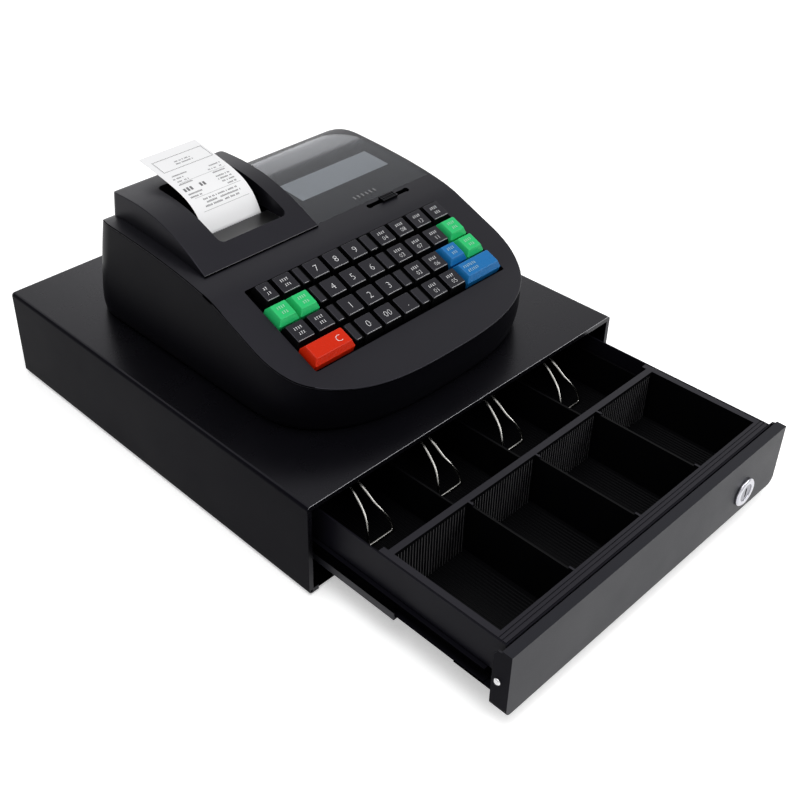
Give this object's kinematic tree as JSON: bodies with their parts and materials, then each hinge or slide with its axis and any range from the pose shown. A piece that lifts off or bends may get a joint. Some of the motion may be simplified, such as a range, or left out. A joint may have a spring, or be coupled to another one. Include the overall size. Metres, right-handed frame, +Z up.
{
  "type": "cash register with drawer",
  "caption": "Cash register on a sliding steel cash drawer with coin cups, note clips, a lock, sprung keys, a mode switch, a display and a receipt printer under a hinged cover.",
  "frame": {"origin": "middle of the footprint with the drawer open, at the floor", "axes": "+X to the right seen from the front, +Y to the back, +Z up; the front faces -Y"},
  "size_m": [0.33, 0.5318, 0.2012],
  "materials": {
    "cabinet_paint": "fine satin black powder paint",
    "panel_paint": "fine satin black powder paint",
    "slide_paint": "satin black",
    "foot_rubber": "matt",
    "bright_steel": "bright",
    "lock_chrome": "polished",
    "tray_plastic": "fine grain",
    "body_plastic": "satin, fine grain",
    "key_black": "satin gloss",
    "key_green": "satin gloss",
    "key_blue": "satin gloss",
    "key_red": "satin gloss",
    "board_green": "matt",
    "lens_smoke": "glossy, smoked",
    "window_smoke": "glossy, smoked",
    "display_grey": "grey liquid crystal",
    "paper_white": "smooth thermal paper"
  },
  "bodies": {
    "base": {"cabinet": "cabinet_paint", "cabinet_floor": "cabinet_paint", "feet": "foot_rubber", "housing": "body_plastic", "top_cover": "body_plastic", "key_frame": "key_black", "circuit_board": "board_green", "display_lens": "lens_smoke", "display_module": "display_grey", "printer_frame": "tray_plastic"},
    "slides": {"slide_links": "slide_paint"},
    "drawer": {"drawer_pan": "slide_paint", "drawer_front": "panel_paint", "panel_rivets": "bright_steel", "lock_body": "lock_chrome", "till_tray": "tray_plastic"},
    "lock_plug": {"lock_barrel": "lock_chrome"},
    "clip_1": {"note_clip_1": "bright_steel"},
    "clip_2": {"note_clip_2": "bright_steel"},
    "clip_3": {"note_clip_3": "bright_steel"},
    "clip_4": {"note_clip_4": "bright_steel"},
    "lid": {"printer_cover": "body_plastic", "tear_window": "window_smoke", "receipt": "paper_white"},
    "roll": {"paper_roll": "paper_white"},
    "knob": {"mode_knob": "key_black"},
    "key_feed": {"key_feed": "key_black"},
    "key_void": {"key_void": "key_black"},
    "key_7": {"key_7": "key_black"},
    "key_8": {"key_8": "key_black"},
    "key_9": {"key_9": "key_black"},
    "key_d4": {"key_d4": "key_black"},
    "key_d8": {"key_d8": "key_black"},
    "key_d12": {"key_d12": "key_black"},
    "key_rate": {"key_rate": "key_black"},
    "key_refund": {"key_refund": "key_green"},
    "key_paid_out": {"key_paid_out": "key_green"},
    "key_4": {"key_4": "key_black"},
    "key_5": {"key_5": "key_black"},
    "key_6": {"key_6": "key_black"},
    "key_d3": {"key_d3": "key_black"},
    "key_d7": {"key_d7": "key_black"},
    "key_d11": {"key_d11": "key_black"},
    "key_charge": {"key_charge": "key_green"},
    "key_clerk": {"key_clerk": "key_black"},
    "key_times": {"key_times": "key_black"},
    "key_1": {"key_1": "key_black"},
    "key_2": {"key_2": "key_black"},
    "key_3": {"key_3": "key_black"},
    "key_d2": {"key_d2": "key_black"},
    "key_d6": {"key_d6": "key_black"},
    "key_subtotal": {"key_subtotal": "key_blue"},
    "key_check": {"key_check": "key_green"},
    "key_clear": {"key_clear": "key_red"},
    "key_0": {"key_0": "key_black"},
    "key_00": {"key_00": "key_black"},
    "key_point": {"key_point": "key_black"},
    "key_d1": {"key_d1": "key_black"},
    "key_d5": {"key_d5": "key_black"},
    "key_total": {"key_total": "key_blue"}
  },
  "joints": [
    {"name": "drawer_slide", "type": "slide", "parent": "base", "child": "drawer", "axis": [0, -1, 0], "range_m": [-0.1624, 0]},
    {"name": "slide_links_run", "type": "slide", "parent": "base", "child": "slides", "axis": [0, -1, 0], "range_m": [-0.0812, 0]},
    {"name": "lock_turn", "type": "hinge", "parent": "drawer", "child": "lock_plug", "pos_m": [0.108, -0.26345, 0.0328], "axis": [0, -1, 0], "range_deg": [0, 90]},
    {"name": "clip_1_lift", "type": "hinge", "parent": "drawer", "child": "clip_1", "pos_m": [-0.1071, -0.05925, 0.0498], "axis": [-1, 0, 0], "range_deg": [0, 45], "stiffness_Nm_per_rad": 0.06, "springref_deg": -11.46},
    {"name": "clip_2_lift", "type": "hinge", "parent": "drawer", "child": "clip_2", "pos_m": [-0.0357, -0.05925, 0.0498], "axis": [-1, 0, 0], "range_deg": [0, 45], "stiffness_Nm_per_rad": 0.06, "springref_deg": -11.46},
    {"name": "clip_3_lift", "type": "hinge", "parent": "drawer", "child": "clip_3", "pos_m": [0.0357, -0.05925, 0.0498], "axis": [-1, 0, 0], "range_deg": [0, 45], "stiffness_Nm_per_rad": 0.06, "springref_deg": -11.46},
    {"name": "clip_4_lift", "type": "hinge", "parent": "drawer", "child": "clip_4", "pos_m": [0.1071, -0.05925, 0.0498], "axis": [-1, 0, 0], "range_deg": [0, 45], "stiffness_Nm_per_rad": 0.06, "springref_deg": -11.46},
    {"name": "lid_hinge", "type": "hinge", "parent": "base", "child": "lid", "pos_m": [-0.0584, 0.18201, 0.17004], "axis": [-1, 0, 0], "range_deg": [0, 75]},
    {"name": "roll_spin", "type": "hinge", "parent": "base", "child": "roll", "pos_m": [-0.0528, 0.13071, 0.1298], "axis": [-1, 0, 0], "continuous": true},
    {"name": "mode_switch", "type": "slide", "parent": "base", "child": "knob", "axis": [1, 0, 0], "range_m": [-0.014, 0.014]},
    {"name": "key_feed_press", "type": "slide", "parent": "base", "child": "key_feed", "axis": [0, 0.3795, -0.9252], "range_m": [0, 0.0025], "stiffness_N_per_m": 240, "springref_m": -0.0005},
    {"name": "key_void_press", "type": "slide", "parent": "base", "child": "key_void", "axis": [0, 0.3795, -0.9252], "range_m": [0, 0.0025], "stiffness_N_per_m": 240, "springref_m": -0.0005},
    {"name": "key_7_press", "type": "slide", "parent": "base", "child": "key_7", "axis": [0, 0.3795, -0.9252], "range_m": [0, 0.0025], "stiffness_N_per_m": 240, "springref_m": -0.0005},
    {"name": "key_8_press", "type": "slide", "parent": "base", "child": "key_8", "axis": [0, 0.3795, -0.9252], "range_m": [0, 0.0025], "stiffness_N_per_m": 240, "springref_m": -0.0005},
    {"name": "key_9_press", "type": "slide", "parent": "base", "child": "key_9", "axis": [0, 0.3795, -0.9252], "range_m": [0, 0.0025], "stiffness_N_per_m": 240, "springref_m": -0.0005},
    {"name": "key_d4_press", "type": "slide", "parent": "base", "child": "key_d4", "axis": [0, 0.3795, -0.9252], "range_m": [0, 0.0025], "stiffness_N_per_m": 240, "springref_m": -0.0005},
    {"name": "key_d8_press", "type": "slide", "parent": "base", "child": "key_d8", "axis": [0, 0.3795, -0.9252], "range_m": [0, 0.0025], "stiffness_N_per_m": 240, "springref_m": -0.0005},
    {"name": "key_d12_press", "type": "slide", "parent": "base", "child": "key_d12", "axis": [0, 0.3795, -0.9252], "range_m": [0, 0.0025], "stiffness_N_per_m": 240, "springref_m": -0.0005},
    {"name": "key_rate_press", "type": "slide", "parent": "base", "child": "key_rate", "axis": [0, 0.3795, -0.9252], "range_m": [0, 0.0025], "stiffness_N_per_m": 240, "springref_m": -0.0005},
    {"name": "key_refund_press", "type": "slide", "parent": "base", "child": "key_refund", "axis": [0, 0.3795, -0.9252], "range_m": [0, 0.0025], "stiffness_N_per_m": 240, "springref_m": -0.0005},
    {"name": "key_paid_out_press", "type": "slide", "parent": "base", "child": "key_paid_out", "axis": [0, 0.3795, -0.9252], "range_m": [0, 0.0025], "stiffness_N_per_m": 240, "springref_m": -0.0005},
    {"name": "key_4_press", "type": "slide", "parent": "base", "child": "key_4", "axis": [0, 0.3795, -0.9252], "range_m": [0, 0.0025], "stiffness_N_per_m": 240, "springref_m": -0.0005},
    {"name": "key_5_press", "type": "slide", "parent": "base", "child": "key_5", "axis": [0, 0.3795, -0.9252], "range_m": [0, 0.0025], "stiffness_N_per_m": 240, "springref_m": -0.0005},
    {"name": "key_6_press", "type": "slide", "parent": "base", "child": "key_6", "axis": [0, 0.3795, -0.9252], "range_m": [0, 0.0025], "stiffness_N_per_m": 240, "springref_m": -0.0005},
    {"name": "key_d3_press", "type": "slide", "parent": "base", "child": "key_d3", "axis": [0, 0.3795, -0.9252], "range_m": [0, 0.0025], "stiffness_N_per_m": 240, "springref_m": -0.0005},
    {"name": "key_d7_press", "type": "slide", "parent": "base", "child": "key_d7", "axis": [0, 0.3795, -0.9252], "range_m": [0, 0.0025], "stiffness_N_per_m": 240, "springref_m": -0.0005},
    {"name": "key_d11_press", "type": "slide", "parent": "base", "child": "key_d11", "axis": [0, 0.3795, -0.9252], "range_m": [0, 0.0025], "stiffness_N_per_m": 240, "springref_m": -0.0005},
    {"name": "key_charge_press", "type": "slide", "parent": "base", "child": "key_charge", "axis": [0, 0.3795, -0.9252], "range_m": [0, 0.0025], "stiffness_N_per_m": 240, "springref_m": -0.0005},
    {"name": "key_clerk_press", "type": "slide", "parent": "base", "child": "key_clerk", "axis": [0, 0.3795, -0.9252], "range_m": [0, 0.0025], "stiffness_N_per_m": 240, "springref_m": -0.0005},
    {"name": "key_times_press", "type": "slide", "parent": "base", "child": "key_times", "axis": [0, 0.3795, -0.9252], "range_m": [0, 0.0025], "stiffness_N_per_m": 240, "springref_m": -0.0005},
    {"name": "key_1_press", "type": "slide", "parent": "base", "child": "key_1", "axis": [0, 0.3795, -0.9252], "range_m": [0, 0.0025], "stiffness_N_per_m": 240, "springref_m": -0.0005},
    {"name": "key_2_press", "type": "slide", "parent": "base", "child": "key_2", "axis": [0, 0.3795, -0.9252], "range_m": [0, 0.0025], "stiffness_N_per_m": 240, "springref_m": -0.0005},
    {"name": "key_3_press", "type": "slide", "parent": "base", "child": "key_3", "axis": [0, 0.3795, -0.9252], "range_m": [0, 0.0025], "stiffness_N_per_m": 240, "springref_m": -0.0005},
    {"name": "key_d2_press", "type": "slide", "parent": "base", "child": "key_d2", "axis": [0, 0.3795, -0.9252], "range_m": [0, 0.0025], "stiffness_N_per_m": 240, "springref_m": -0.0005},
    {"name": "key_d6_press", "type": "slide", "parent": "base", "child": "key_d6", "axis": [0, 0.3795, -0.9252], "range_m": [0, 0.0025], "stiffness_N_per_m": 240, "springref_m": -0.0005},
    {"name": "key_subtotal_press", "type": "slide", "parent": "base", "child": "key_subtotal", "axis": [0, 0.3795, -0.9252], "range_m": [0, 0.0025], "stiffness_N_per_m": 240, "springref_m": -0.0005},
    {"name": "key_check_press", "type": "slide", "parent": "base", "child": "key_check", "axis": [0, 0.3795, -0.9252], "range_m": [0, 0.0025], "stiffness_N_per_m": 240, "springref_m": -0.0005},
    {"name": "key_clear_press", "type": "slide", "parent": "base", "child": "key_clear", "axis": [0, 0.3795, -0.9252], "range_m": [0, 0.0025], "stiffness_N_per_m": 240, "springref_m": -0.0005},
    {"name": "key_0_press", "type": "slide", "parent": "base", "child": "key_0", "axis": [0, 0.3795, -0.9252], "range_m": [0, 0.0025], "stiffness_N_per_m": 240, "springref_m": -0.0005},
    {"name": "key_00_press", "type": "slide", "parent": "base", "child": "key_00", "axis": [0, 0.3795, -0.9252], "range_m": [0, 0.0025], "stiffness_N_per_m": 240, "springref_m": -0.0005},
    {"name": "key_point_press", "type": "slide", "parent": "base", "child": "key_point", "axis": [0, 0.3795, -0.9252], "range_m": [0, 0.0025], "stiffness_N_per_m": 240, "springref_m": -0.0005},
    {"name": "key_d1_press", "type": "slide", "parent": "base", "child": "key_d1", "axis": [0, 0.3795, -0.9252], "range_m": [0, 0.0025], "stiffness_N_per_m": 240, "springref_m": -0.0005},
    {"name": "key_d5_press", "type": "slide", "parent": "base", "child": "key_d5", "axis": [0, 0.3795, -0.9252], "range_m": [0, 0.0025], "stiffness_N_per_m": 240, "springref_m": -0.0005},
    {"name": "key_total_press", "type": "slide", "parent": "base", "child": "key_total", "axis": [0, 0.3795, -0.9252], "range_m": [0, 0.0025], "stiffness_N_per_m": 240, "springref_m": -0.0005}
  ],
  "couplings": [
    {"joint": "slide_links_run", "follows": "drawer_slide", "ratio": 0.5}
  ]
}
